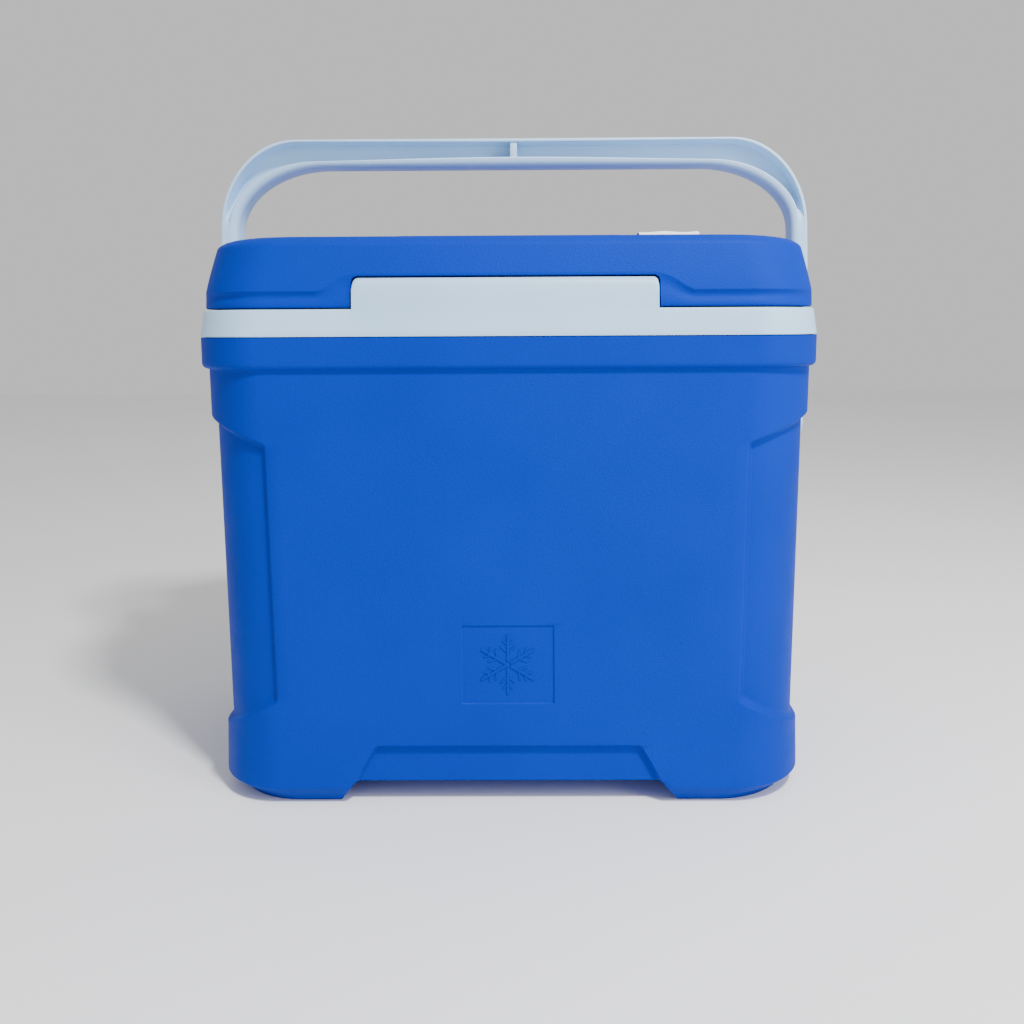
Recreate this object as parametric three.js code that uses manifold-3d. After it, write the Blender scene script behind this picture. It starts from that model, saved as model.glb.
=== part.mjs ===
// A hard-sided picnic cooler with a swing-up bail handle and a hinged lid.
// Millimetres, +Z up. The origin is on the ground under the middle of the cooler,
// the front face looks along -Y and the lid hinge runs along X at the back.

import * as THREE from 'three';
import { mergeVertices } from 'three/addons/utils/BufferGeometryUtils.js';
import Module from 'manifold-3d';

const wasm = await Module();
wasm.setup();

// ---------------------------------------------------------------- driving dimensions

// Overall sizes of the tub
const tubWidth = 464.7;
const tubDepth = 280;
const shellHeight = 338.4;
const cornerRadius = 54;

// Clearances
const seatGap = 0.3;
const pinGap = 0.3;
const tabGap = 1.2;
const lidGap = 1;
const plugGap = 4.5;

// Blue outer shell
const wall = 2.5;
const collarHeight = 23;
const collarStep = 4.6;
const collarRound = 2.6;
const bodyDraft = 0.035;
const hemHeight = 44;
const recessDepth = 4.5;
const recessInset = 51.7;
const recessBottom = 76;
const recessTopDrop = 77.7;
const recessRise = 19;
const recessDrop = 27;
const recessCorner = 8;

// Feet and the hollow between them
const footClearance = 16.5;
const footReachX = 122.4;
const footReachY = 95;
const footSlope = 11.3;
const footCrease = 13;
const footTuckSide = 8;
const footTuckFront = 10;
const gripHeight = 27;
const gripTaper = 15.6;
const gripCorner = 5;
const badgeWidth = 66.2;
const badgeHeight = 57.4;
const badgeCentre = 102.5;
const badgeDepth = 1;
const badgeCorner = 2;

// White liner: the cabin, the rim that caps the shell, and the two tabs
const rimHeight = 19.8;
const rimDraft = 2;
const rimWidth = 30;
const cabinFloor = 38;
const cabinDraft = 13;
const cabinCorner = 32;
const floorRound = 12;
const tabWidth = 218.3;
const tabThickness = 12;
const tabHeight = 22.5;
const tabCorner = 4;

// Lid
const lidHeight = 52.5;
const lidShoulder = 7.5;
const lidInset = 3;
const lidRidge = 12;
const padHalfX = 95;
const padHalfY = 95;
const padCorner = 14;
const padHeight = 2.5;
const lidPlugDepth = 14;
const lidPlugDraft = 3;
const hingeWall = 8;
const labelWidth = 44;
const labelLength = 30;
const labelThickness = 0.5;
const labelCurl = 3.5;
const labelMargin = 2;

// Hinge pins
const hingePinRadius = 3;
const hingePinInTab = 11;
const hingePinInLid = 5.5;

// Bail handle
const pivotDrop = 70.4;
const bailClearance = 0.85;
const bailThickness = 13.6;
const bailDepth = 26;
const handRoom = 65.8;
const gripThickness = 23.7;
const bailJog = 5;
const jogStart = 12;
const jogLength = 20;
const eyeRadius = 16;
const pocketDepth = 19;
const outerLip = 3.7;
const innerLip = 7;
const gripRibWidth = 5.7;
const outerCornerX = 62;
const outerCornerZ = 73;
const innerCornerX = 75;
const innerCornerZ = 52;

// Pivot hardware
const screwRadius = 4;
const screwHeadRadius = 8;
const screwHeadHeight = 3.4;
const washerRadius = 9;
const washerThickness = 1.2;
const sleeveWall = 2.7;
const insertWall = 2.4;
const insertLength = 14;
const bossRadius = 17;

// Foam filling plugs
const fillPlugRadius = 8.7;
const fillPlugFlange = 12;
const fillPlugLip = 1.5;
const fillPlugSpread = 62;

// ---------------------------------------------------------------- places worked out

const halfX = tubWidth / 2;
const halfY = tubDepth / 2;
const channelHalfX = halfX - footReachX;
const channelHalfY = halfY - footReachY;
const rimBottom = shellHeight + seatGap;
const rimTop = rimBottom + rimHeight;
const collarBottom = shellHeight - collarHeight;
const lidBottom = rimTop + lidGap;
const lidTop = lidBottom + lidHeight;
const cabinHalfX = halfX - rimWidth;
const cabinHalfY = halfY - rimWidth;

const lidFlatInset = lidInset + 21;

const tabRadius = tabThickness / 2;
const tabTop = rimTop + tabHeight;
const hingeY = halfY - rimDraft - tabRadius;
const hingeZ = tabTop - tabRadius;

const recessTop = shellHeight - recessTopDrop;
const pivotHeight = shellHeight - pivotDrop;
const bailHalfWidth = halfX + bailClearance + bailThickness;
const gripTop = lidTop + padHeight + handRoom + gripThickness;
const eyeOuter = bailHalfWidth - bailJog;
const eyeInner = eyeOuter - bailThickness;
const bossFace = eyeInner - 2 * seatGap;
const sleeveRadius = screwRadius + pinGap + sleeveWall;
const insertRadius = screwRadius + pinGap + insertWall;
const headSeat = eyeOuter - screwHeadHeight - seatGap;
const washerSeat = headSeat - seatGap - washerThickness;
const boreFloor = bossFace - insertLength - 2 * seatGap;
const bossRoot = boreFloor - 2 * wall;

// How far a cutter reaches past what it cuts, and how finely corners and round pieces are faceted
const beyond = 60;
const cornerSteps = 6;
const roundSteps = 16;

// ---------------------------------------------------------------- materials

function finish(colour, roughness, metalness = 0) {
  return new THREE.MeshStandardMaterial({ color: colour, roughness, metalness });
}

const bluePlastic = finish('#0a5fd0', 0.45);
const whitePlastic = finish('#dfe5ee', 0.4);
const acetal = finish('#f2f2ee', 0.35);
const foam = finish('#e9d9a4', 0.9);
const steel = finish('#b9bcc2', 0.3, 1);
const brass = finish('#c9a45c', 0.35, 1);
const paper = finish('#f7f7f4', 0.8);
const blackPlastic = finish('#23252a', 0.5);

// ---------------------------------------------------------------- solids

// A closed three.js geometry as a solid that can be joined and cut.
function solid(geometry) {
  const bare = geometry.clone();
  bare.deleteAttribute('normal');
  bare.deleteAttribute('uv');
  const merged = mergeVertices(bare, 1e-4);
  const corners = merged.index.array;
  const kept = [];
  for (let i = 0; i < corners.length; i += 3) {
    const [a, b, c] = [corners[i], corners[i + 1], corners[i + 2]];
    if (a !== b && b !== c && c !== a) kept.push(a, b, c);
  }
  return new wasm.Manifold(new wasm.Mesh({
    numProp: 3,
    vertProperties: new Float32Array(merged.attributes.position.array),
    triVerts: new Uint32Array(kept),
  }));
}

// A solid as a named mesh of the scene.
function piece(name, shape, material) {
  const result = shape.getMesh();
  const geometry = new THREE.BufferGeometry();
  geometry.setAttribute('position', new THREE.BufferAttribute(new Float32Array(result.vertProperties), 3));
  geometry.setIndex(new THREE.BufferAttribute(new Uint32Array(result.triVerts), 1));
  geometry.computeVertexNormals();
  const mesh = new THREE.Mesh(geometry, material);
  mesh.name = name;
  return mesh;
}

function roundedRectangle(halfWidth, halfHeight, radius) {
  const outline = new THREE.Shape();
  const x = halfWidth - radius;
  const y = halfHeight - radius;
  outline.absarc(x, y, radius, 0, Math.PI / 2);
  outline.absarc(-x, y, radius, Math.PI / 2, Math.PI);
  outline.absarc(-x, -y, radius, Math.PI, Math.PI * 1.5);
  outline.absarc(x, -y, radius, Math.PI * 1.5, Math.PI * 2);
  outline.closePath();
  return outline;
}

// A rounded block whose outline is drawn in, level by level.
// Each level is [height, how far the sides come in, how far the front and back come in].
function stack(halfWidth, halfDepth, radius, levels) {
  const steps = levels.length - 1;
  const outline = roundedRectangle(halfWidth, halfDepth, radius);
  const options = { depth: steps, steps, bevelEnabled: false, curveSegments: cornerSteps };
  const geometry = new THREE.ExtrudeGeometry(outline, options);
  const place = geometry.attributes.position;
  for (let i = 0; i < place.count; i += 1) {
    const [height, sideIn, frontIn] = levels[Math.round(place.getZ(i))];
    const x = place.getX(i);
    const y = place.getY(i);
    place.setXYZ(i, x - Math.sign(x) * sideIn, y - Math.sign(y) * frontIn, height);
  }
  return solid(geometry);
}

// A bar of the given outline, drawn in X and Z, running along Y and centred on y.
function barAlongY(outline, length, y = 0, curveSegments = 4) {
  const geometry = new THREE.ExtrudeGeometry(outline, { depth: length, bevelEnabled: false, curveSegments });
  geometry.rotateX(Math.PI / 2);
  geometry.translate(0, y + length / 2, 0);
  return solid(geometry);
}

// A bar of the given outline, drawn in Y and Z, running along X and centred on x.
function barAlongX(outline, length, x = 0, curveSegments = 4) {
  const geometry = new THREE.ExtrudeGeometry(outline, { depth: length, bevelEnabled: false, curveSegments });
  geometry.rotateX(Math.PI / 2);
  geometry.rotateZ(Math.PI / 2);
  geometry.translate(x - length / 2, 0, 0);
  return solid(geometry);
}

function block(fromX, toX, fromY, toY, fromZ, toZ) {
  const geometry = new THREE.BoxGeometry(toX - fromX, toY - fromY, toZ - fromZ);
  geometry.translate((fromX + toX) / 2, (fromY + toY) / 2, (fromZ + toZ) / 2);
  return solid(geometry);
}

// A round bar along X from one place to another.
function rod(radius, fromX, toX, y, z) {
  const geometry = new THREE.CylinderGeometry(radius, radius, Math.abs(toX - fromX), roundSteps);
  geometry.rotateZ(Math.PI / 2);
  geometry.translate((fromX + toX) / 2, y, z);
  return solid(geometry);
}

function polygon(points) {
  return new THREE.Shape(points.map(([x, z]) => new THREE.Vector2(x, z)));
}

// A turned piece about Z, from an outline of [radius, height] points.
function turned(points) {
  const outline = points.map(([radius, height]) => new THREE.Vector2(radius, height));
  const geometry = new THREE.LatheGeometry(outline, roundSteps);
  geometry.rotateX(Math.PI / 2);
  return solid(geometry);
}

function mirrored(shape) {
  return shape.mirror([1, 0, 0]);
}

function onBothSides(shape) {
  return shape.add(mirrored(shape));
}

// ---------------------------------------------------------------- the tub

function bodyInset(height) {
  return collarStep + bodyDraft * (collarBottom - height);
}

// The levels of the shell's outside, drawn in by an offset.
function shellLevels(offset) {
  const hem = bodyInset(hemHeight);
  return [
    [offset, hem + footTuckSide, hem + footTuckFront],
    [footCrease * 0.35, hem + footTuckSide * 0.3, hem + footTuckFront * 0.65],
    [footCrease, hem, hem],
    [hemHeight, hem, hem],
    [collarBottom - collarRound * 0.6, collarStep, collarStep],
    [collarBottom, collarRound * 0.7, collarRound * 0.7],
    [collarBottom + collarRound, 0, 0],
    [shellHeight, 0, 0],
  ].map(([height, side, front]) => [height, side + offset, front + offset]);
}

// The stretch of side and corner where the shell is set in, drawn in X and Z for the right side.
// Its top edge climbs and its bottom edge falls from the front edge towards the side.
function recessOutline(offset) {
  const edge = (height) => halfX - bodyInset(height) - recessInset - offset;
  const top = recessTop + offset;
  const bottom = recessBottom - offset;
  const climb = recessRise / recessInset;
  const fall = recessDrop / recessInset;
  const reach = recessInset + beyond;
  const outline = new THREE.Shape();
  outline.moveTo(edge(bottom) + recessCorner, bottom - recessCorner * fall);
  outline.lineTo(edge(bottom) + reach, bottom - reach * fall);
  outline.lineTo(edge(bottom) + reach, top + reach * climb);
  outline.lineTo(edge(top) + recessCorner, top + recessCorner * climb);
  outline.quadraticCurveTo(edge(top), top, edge(top - recessCorner), top - recessCorner);
  outline.lineTo(edge(bottom + recessCorner), bottom + recessCorner);
  outline.quadraticCurveTo(edge(bottom), bottom, edge(bottom) + recessCorner, bottom - recessCorner * fall);
  return outline;
}

// The finger hollow under the front and back, between the feet.
function gripOutline(offset) {
  const top = footClearance + gripHeight + offset;
  const wide = channelHalfX + offset;
  const narrow = wide - gripTaper;
  const shoulder = narrow + gripTaper * gripCorner / gripHeight;
  const outline = new THREE.Shape();
  outline.moveTo(-wide, 0);
  outline.lineTo(wide, 0);
  outline.lineTo(wide, footClearance);
  outline.lineTo(shoulder, top - gripCorner);
  outline.quadraticCurveTo(narrow, top, narrow - gripCorner, top);
  outline.lineTo(gripCorner - narrow, top);
  outline.quadraticCurveTo(-narrow, top, -shoulder, top - gripCorner);
  outline.lineTo(-wide, footClearance);
  return outline;
}

// The open way under the floor, between two rows of feet.
function channelOutline(halfTop, offset) {
  const top = footClearance + offset;
  const slope = footSlope / footClearance;
  const low = -footClearance;
  return polygon([
    [-halfTop - offset - slope * (top - low), low],
    [halfTop + offset + slope * (top - low), low],
    [halfTop + offset, top],
    [-halfTop - offset, top],
  ]);
}

// The outside of the shell, drawn in by an offset: 0 is the outer surface, the wall is the inner one.
function shellForm(offset, topLevels) {
  const levels = shellLevels(offset).concat(topLevels);
  const radius = cornerRadius - offset;
  const setIn = levels.map(([height, side, front]) => [height, side + recessDepth, front + recessDepth]);
  const core = stack(halfX, halfY, radius, setIn);
  const recess = onBothSides(barAlongY(recessOutline(offset), tubDepth + beyond));
  const grip = barAlongY(gripOutline(offset), tubDepth + beyond);
  return stack(halfX, halfY, radius, levels)
    .subtract(recess.add(grip).subtract(core))
    .subtract(barAlongY(channelOutline(channelHalfX, offset), tubDepth + beyond))
    .subtract(barAlongX(channelOutline(channelHalfY, offset), tubWidth + beyond));
}

// A round hole or boss on the handle's pivot line, on the right side.
function onPivot(radius, fromX, toX) {
  return rod(radius, fromX, toX, 0, pivotHeight);
}

function badgeRecess() {
  const outline = roundedRectangle(badgeWidth / 2, badgeHeight / 2, badgeCorner);
  const levels = shellLevels(badgeDepth);
  return barAlongY(outline, beyond, -halfY).translate([0, 0, badgeCentre])
    .subtract(stack(halfX, halfY, cornerRadius, levels));
}

function fillPlugHoles(radius, fromZ, toZ) {
  const geometry = new THREE.CylinderGeometry(radius, radius, toZ - fromZ, roundSteps);
  geometry.rotateX(Math.PI / 2);
  geometry.translate(fillPlugSpread, 0, (fromZ + toZ) / 2);
  return onBothSides(solid(geometry));
}

function outerShell() {
  return shellForm(0, [])
    .subtract(shellForm(wall, [[shellHeight + beyond, wall, wall]]))
    .add(onBothSides(onPivot(bossRadius, bossRoot, bossFace)))
    .subtract(onBothSides(onPivot(insertRadius + pinGap, boreFloor, bossFace + beyond)))
    .subtract(fillPlugHoles(fillPlugRadius + pinGap, 0, footClearance + 2 * wall))
    .subtract(badgeRecess());
}

// The cabin, grown by an offset: 0 is the inside surface, the wall is the outside of the liner.
function cabinForm(offset, top) {
  const levels = [
    [cabinFloor - offset, cabinDraft + floorRound * 0.7, cabinDraft + floorRound * 0.7],
    [cabinFloor - offset + floorRound * 0.3, cabinDraft + floorRound * 0.15, cabinDraft + floorRound * 0.15],
    [cabinFloor - offset + floorRound, cabinDraft, cabinDraft],
    [rimTop, 0, 0],
    [top, 0, 0],
  ];
  return stack(cabinHalfX + offset, cabinHalfY + offset, cabinCorner + offset, levels);
}

// A tab standing on the rim, grown by an offset, for the front or the back.
function tab(side) {
  const section = new THREE.Shape();
  section.moveTo(hingeY - tabRadius, rimTop - 2 * wall);
  section.lineTo(hingeY + tabRadius, rimTop - 2 * wall);
  section.lineTo(hingeY + tabRadius, hingeZ);
  section.absarc(hingeY, hingeZ, tabRadius, 0, Math.PI);
  const face = roundedRectangle(tabWidth / 2, tabHeight, tabCorner);
  const upright = barAlongX(section, tabWidth)
    .intersect(barAlongY(face, tubDepth * 2).translate([0, 0, tabTop - tabHeight]));
  return side > 0 ? upright : upright.mirror([0, 1, 0]);
}

function innerLiner() {
  const rim = stack(halfX, halfY, cornerRadius, [[rimBottom, 0, 0], [rimTop, rimDraft, rimDraft]]);
  const hollow = stack(halfX - wall, halfY - wall, cornerRadius - wall, [
    [rimBottom - 1, 0, 0],
    [rimTop - wall, rimDraft, rimDraft],
  ]);
  const pinHoleFloor = tabWidth / 2 - hingePinInTab - pinGap;
  const pinHole = rod(hingePinRadius + pinGap, pinHoleFloor, tabWidth / 2 + 1, hingeY, hingeZ);
  return rim.subtract(hollow)
    .add(cabinForm(wall, rimTop))
    .add(tab(1))
    .add(tab(-1))
    .subtract(cabinForm(0, rimTop + 1))
    .subtract(onBothSides(pinHole));
}

function bodyFoam() {
  const skin = wall + seatGap;
  const top = [
    [rimBottom, skin, skin],
    [rimTop - skin, rimDraft + skin, rimDraft + skin],
  ];
  const tabRoom = block(-tabWidth, tabWidth, -halfY, halfY, rimTop - 2 * wall - seatGap, rimTop);
  return shellForm(skin, top)
    .subtract(cabinForm(skin, rimTop + 1))
    .subtract(onBothSides(onPivot(bossRadius + seatGap, bossRoot - seatGap, halfX)))
    .subtract(fillPlugHoles(fillPlugRadius + pinGap, 0, footClearance + 2 * wall))
    .subtract(tabRoom);
}

// A push-in plug for a filling hole: a flange under the floor and a stem up into the hole.
function fillPlug() {
  return turned([
    [0, -fillPlugLip],
    [fillPlugFlange - 1, -fillPlugLip],
    [fillPlugFlange, -fillPlugLip / 2],
    [fillPlugFlange, 0],
    [fillPlugRadius, 0],
    [fillPlugRadius, wall + 1],
    [0, wall + 1],
  ]);
}

// ---------------------------------------------------------------- the lid

// The outside of the lid, drawn in by an offset and carried down to a bottom level.
function lidForm(offset, bottom) {
  const ridge = lidBottom + lidRidge;
  const shoulder = lidTop - lidShoulder;
  const levels = [
    [Math.min(bottom, lidBottom), 0.9, 0.9],
    [lidBottom + 2, 0, 0],
    [ridge, 0, 0],
    [(ridge + shoulder) / 2, 3, 2.6],
    [shoulder, 6.5, 7],
    [shoulder + lidShoulder * 0.35, 8.6, 9.4],
    [lidTop - lidShoulder * 0.14, 16, 15],
    [lidTop, 24, lidFlatInset - lidInset],
  ];
  const lowered = (height) => height - offset * (height - lidBottom) / lidHeight;
  return stack(halfX, halfY, cornerRadius - offset, levels.map(([height, side, front]) => (
    [lowered(height), lidInset + side + offset, lidInset + front + offset])));
}

// The room round each tab, grown by an offset at the sides, behind and above.
function tabNotch(sideways, around) {
  const reach = tabWidth / 2 + tabGap + sideways;
  const inner = hingeY - tabRadius - tabGap - around;
  const back = block(-reach, reach, inner, halfY + beyond, rimTop - beyond, tabTop + tabGap + around);
  return back.add(back.mirror([0, 1, 0]));
}

function lidPad() {
  return stack(padHalfX, padHalfY, padCorner, [
    [lidTop - wall, 0, 0],
    [lidTop + padHeight - 1, 0.8, 0.8],
    [lidTop + padHeight, 2.4, 2.4],
  ]);
}

function hingePinHoles(fromX, toX) {
  return onBothSides(rod(hingePinRadius + pinGap, fromX, toX, hingeY, hingeZ));
}

function lidShell() {
  const pinHoleEnd = tabWidth / 2 + tabGap + hingePinInLid + pinGap;
  return lidForm(0, lidBottom)
    .add(lidPad())
    .subtract(tabNotch(0, 0))
    .subtract(lidForm(wall, lidBottom - 1).subtract(tabNotch(hingeWall, wall)))
    .subtract(hingePinHoles(tabWidth / 2, pinHoleEnd));
}

const lidLinerLevel = lidBottom + 2;

// The raised underside of the lid that drops into the cabin.
function lidPlugForm(offset, top) {
  const bottom = rimTop - lidPlugDepth + offset;
  return stack(cabinHalfX - plugGap - offset, cabinHalfY - plugGap - offset, cabinCorner - offset, [
    [bottom, lidPlugDraft + 4, lidPlugDraft + 4],
    [bottom + 4, lidPlugDraft, lidPlugDraft],
    [top, 0, 0],
  ]);
}

function lidLiner() {
  const skin = wall + seatGap;
  const edge = lidInset + skin;
  const flange = stack(halfX, halfY, cornerRadius - skin, [
    [lidLinerLevel, edge, edge],
    [lidLinerLevel + wall, edge, edge],
  ]);
  return flange.subtract(tabNotch(hingeWall + seatGap, skin))
    .add(lidPlugForm(0, lidLinerLevel + wall))
    .subtract(lidPlugForm(wall, lidLinerLevel + wall + 1))
    .subtract(lidPlugHole());
}

function lidPlugHole() {
  const radius = fillPlugRadius + pinGap;
  const geometry = new THREE.CylinderGeometry(radius, radius, 4 * wall, roundSteps);
  geometry.rotateX(Math.PI / 2);
  geometry.translate(0, 0, rimTop - lidPlugDepth);
  return solid(geometry);
}

function lidFoam() {
  const skin = wall + seatGap;
  const floor = lidLinerLevel + skin;
  return lidForm(skin, floor - beyond)
    .subtract(tabNotch(hingeWall + seatGap, skin))
    .subtract(block(-tubWidth, tubWidth, -tubDepth, tubDepth, -tubWidth, floor))
    .add(lidPlugForm(skin, floor + 1))
    .subtract(lidPlugHole());
}

// A paper label with its front edge curled up.
function label() {
  const half = labelLength / 2;
  const sheet = new THREE.Shape();
  sheet.moveTo(-half, labelCurl);
  sheet.quadraticCurveTo(-half / 2, 0, half, 0);
  sheet.lineTo(half, labelThickness);
  sheet.quadraticCurveTo(-half / 2, labelThickness, -half, labelCurl + labelThickness);
  return barAlongX(sheet, labelWidth, 0, cornerSteps);
}

// ---------------------------------------------------------------- the bail handle

// One edge of the bail as an outline that runs down past the pivots.
function bailOutline(half, top, cornerX, cornerZ) {
  const outline = new THREE.Shape();
  const jogTop = pivotHeight + jogStart + jogLength;
  const jogFoot = pivotHeight + jogStart;
  const foot = pivotHeight - beyond;
  outline.moveTo(half - bailJog, foot);
  outline.lineTo(half - bailJog, jogFoot);
  outline.lineTo(half, jogTop);
  outline.lineTo(half, top - cornerZ);
  outline.absellipse(half - cornerX, top - cornerZ, cornerX, cornerZ, 0, Math.PI / 2);
  outline.absellipse(cornerX - half, top - cornerZ, cornerX, cornerZ, Math.PI / 2, Math.PI);
  outline.lineTo(-half, jogTop);
  outline.lineTo(bailJog - half, jogFoot);
  outline.lineTo(bailJog - half, foot);
  return outline;
}

function bailOuter(lip, length) {
  const outline = bailOutline(bailHalfWidth - lip, gripTop - lip, outerCornerX - lip, outerCornerZ - lip);
  return barAlongY(outline, length, 0, 10);
}

function bailInner(lip, length) {
  const half = bailHalfWidth - bailThickness + lip;
  const outline = bailOutline(half, gripTop - gripThickness + lip, innerCornerX + lip, innerCornerZ + lip);
  return barAlongY(outline, length, 0, 10);
}

function bailHandle() {
  const armFoot = block(-tubWidth, tubWidth, -tubDepth, tubDepth, pivotHeight - 2 * beyond, pivotHeight);
  const bow = bailOuter(0, bailDepth).subtract(bailInner(0, bailDepth + 2)).subtract(armFoot);
  const pocketEnd = gripTop - outerCornerZ;
  const pocketRoom = block(gripRibWidth / 2, bailHalfWidth, -bailDepth, pocketDepth - bailDepth / 2,
    pocketEnd, gripTop);
  const pocket = bailOuter(outerLip, bailDepth * 2).subtract(bailInner(innerLip, bailDepth * 3))
    .intersect(pocketRoom);
  return bow.subtract(onBothSides(pocket))
    .add(onBothSides(onPivot(eyeRadius, eyeInner, eyeOuter)))
    .subtract(onBothSides(onPivot(sleeveRadius + pinGap, eyeInner - 1, eyeOuter)))
    .subtract(onBothSides(onPivot(washerRadius + pinGap, washerSeat - seatGap, eyeOuter + beyond)));
}

// ---------------------------------------------------------------- pivot hardware, turned about its own axis

function ring(outer, inner, fromZ, toZ) {
  return turned([[inner, fromZ], [outer, fromZ], [outer, toZ], [inner, toZ], [inner, fromZ]]);
}

// The screw's head sits on height 0 and its shank runs down.
function pivotScrew() {
  const shank = headSeat - boreFloor - 2 * seatGap;
  const body = turned([
    [0, -shank],
    [screwRadius - 1, -shank],
    [screwRadius, -shank + 1],
    [screwRadius, 0],
    [screwHeadRadius, 0],
    [screwHeadRadius, screwHeadHeight * 0.45],
    [screwHeadRadius * 0.75, screwHeadHeight * 0.85],
    [screwHeadRadius * 0.35, screwHeadHeight],
    [0, screwHeadHeight],
  ]);
  const slot = screwHeadRadius * 0.55;
  const cut = (long, wide) => block(-long, long, -wide, wide, screwHeadHeight * 0.4, screwHeadHeight * 2);
  return body.subtract(cut(slot, 0.8)).subtract(cut(0.8, slot));
}

// A turned piece laid along X on the handle's pivot line, on the right or the left side.
function atPivot(name, shape, material, fromCentre, side) {
  const mesh = piece(name, shape, material);
  mesh.rotation.y = side * Math.PI / 2;
  mesh.position.set(side * fromCentre, 0, pivotHeight);
  return mesh;
}

// ---------------------------------------------------------------- assembly

const cooler = new THREE.Group();
const tub = new THREE.Group();
const lid = new THREE.Group();
const handle = new THREE.Group();
cooler.add(tub, lid, handle);

tub.add(piece('outer_shell', outerShell(), bluePlastic));
tub.add(piece('inner_liner', innerLiner(), whitePlastic));
tub.add(piece('body_foam', bodyFoam(), foam));

lid.add(piece('lid_shell', lidShell(), bluePlastic));
lid.add(piece('lid_liner', lidLiner(), whitePlastic));
lid.add(piece('lid_foam', lidFoam(), foam));

handle.add(piece('bail_handle', bailHandle(), whitePlastic));

for (const [word, side] of [['left', -1], ['right', 1]]) {
  const insert = ring(insertRadius, screwRadius + pinGap, 0, insertLength);
  const sleeve = ring(sleeveRadius, screwRadius + pinGap, 0, washerSeat - bossFace - 2 * seatGap);
  const washer = ring(washerRadius, screwRadius + pinGap, 0, washerThickness);
  tub.add(atPivot(`pivot_insert_${word}`, insert, brass, bossFace - insertLength - seatGap, side));
  tub.add(atPivot(`pivot_sleeve_${word}`, sleeve, acetal, bossFace + seatGap, side));
  tub.add(atPivot(`pivot_washer_${word}`, washer, steel, washerSeat, side));
  tub.add(atPivot(`pivot_screw_${word}`, pivotScrew(), steel, headSeat, side));

  const pinLength = hingePinInTab + tabGap + hingePinInLid;
  const pin = piece(`hinge_pin_${word}`, turned([
    [0, 0], [hingePinRadius - 0.6, 0], [hingePinRadius, 0.6],
    [hingePinRadius, pinLength - 0.6], [hingePinRadius - 0.6, pinLength], [0, pinLength],
  ]), steel);
  pin.rotation.y = side * Math.PI / 2;
  pin.position.set(side * (tabWidth / 2 - hingePinInTab), hingeY, hingeZ);
  tub.add(pin);

  const plug = piece(`foam_fill_plug_${word}`, fillPlug(), blackPlastic);
  plug.position.set(side * fillPlugSpread, 0, footClearance - seatGap);
  tub.add(plug);
}

const lidPlug = piece('lid_fill_plug', fillPlug(), whitePlastic);
lidPlug.position.set(0, 0, rimTop - lidPlugDepth - seatGap);
lid.add(lidPlug);

const lidLabel = piece('lid_label', label(), paper);
const labelX = padHalfX + labelMargin + labelWidth / 2;
const labelY = lidFlatInset + labelLength / 2 - halfY;
lidLabel.position.set(labelX, labelY, lidTop + seatGap);
lid.add(lidLabel);

export default cooler;
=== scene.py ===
# %% [markdown]
# # A hard picnic cooler, moulded piece by piece
# A cooler like this is a handful of big mouldings: a blue tub, a white liner that caps it with a rim,
# a two-skin lid and a white bail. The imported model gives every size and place. Here each moulding is
# built again as a fine quad mesh, because what makes it look real is the soft edge of each step.

# %% Load the frame
import bpy
import bmesh
import math
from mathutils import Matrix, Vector


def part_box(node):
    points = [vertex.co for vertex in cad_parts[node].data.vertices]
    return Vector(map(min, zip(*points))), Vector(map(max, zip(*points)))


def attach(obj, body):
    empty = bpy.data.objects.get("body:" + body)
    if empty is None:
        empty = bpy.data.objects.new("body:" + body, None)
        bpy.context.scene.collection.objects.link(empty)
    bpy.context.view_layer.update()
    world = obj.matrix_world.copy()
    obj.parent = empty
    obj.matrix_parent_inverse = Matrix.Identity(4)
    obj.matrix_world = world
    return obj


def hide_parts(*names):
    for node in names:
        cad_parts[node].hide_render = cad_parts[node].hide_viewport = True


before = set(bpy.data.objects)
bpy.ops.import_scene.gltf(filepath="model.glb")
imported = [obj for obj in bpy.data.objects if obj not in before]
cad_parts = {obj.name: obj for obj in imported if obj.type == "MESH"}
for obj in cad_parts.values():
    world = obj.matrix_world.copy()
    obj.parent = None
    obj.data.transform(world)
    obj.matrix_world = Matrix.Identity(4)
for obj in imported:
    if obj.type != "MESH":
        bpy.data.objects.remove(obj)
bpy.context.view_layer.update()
MM = 0.001

# %% [markdown]
# ## Sizes
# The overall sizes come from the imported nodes. The edge radii and the depths of the moulded steps are
# the maker's own values, in millimetres, because no box can tell them.

# %% Sizes from the frame
def box_mm(node):
    low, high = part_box(node)
    return [v / MM for v in low], [v / MM for v in high]


(_, _, _), (HALF_X, HALF_Y, SHELL_TOP) = box_mm("outer_shell")
(_, _, _), (_, _, TAB_TOP) = box_mm("inner_liner")
(_, _, LID_BOTTOM), (LID_HALF_X, _, PAD_TOP) = box_mm("lid_shell")
(_, _, EYE_BOTTOM), (BAIL_HALF_X, EYE_RADIUS, GRIP_TOP) = box_mm("bail_handle")
PIVOT_Z = EYE_BOTTOM + EYE_RADIUS
print("shell", HALF_X, HALF_Y, SHELL_TOP, "tab top", TAB_TOP)
print("lid", LID_BOTTOM, PAD_TOP, "pivot", PIVOT_Z)

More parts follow.
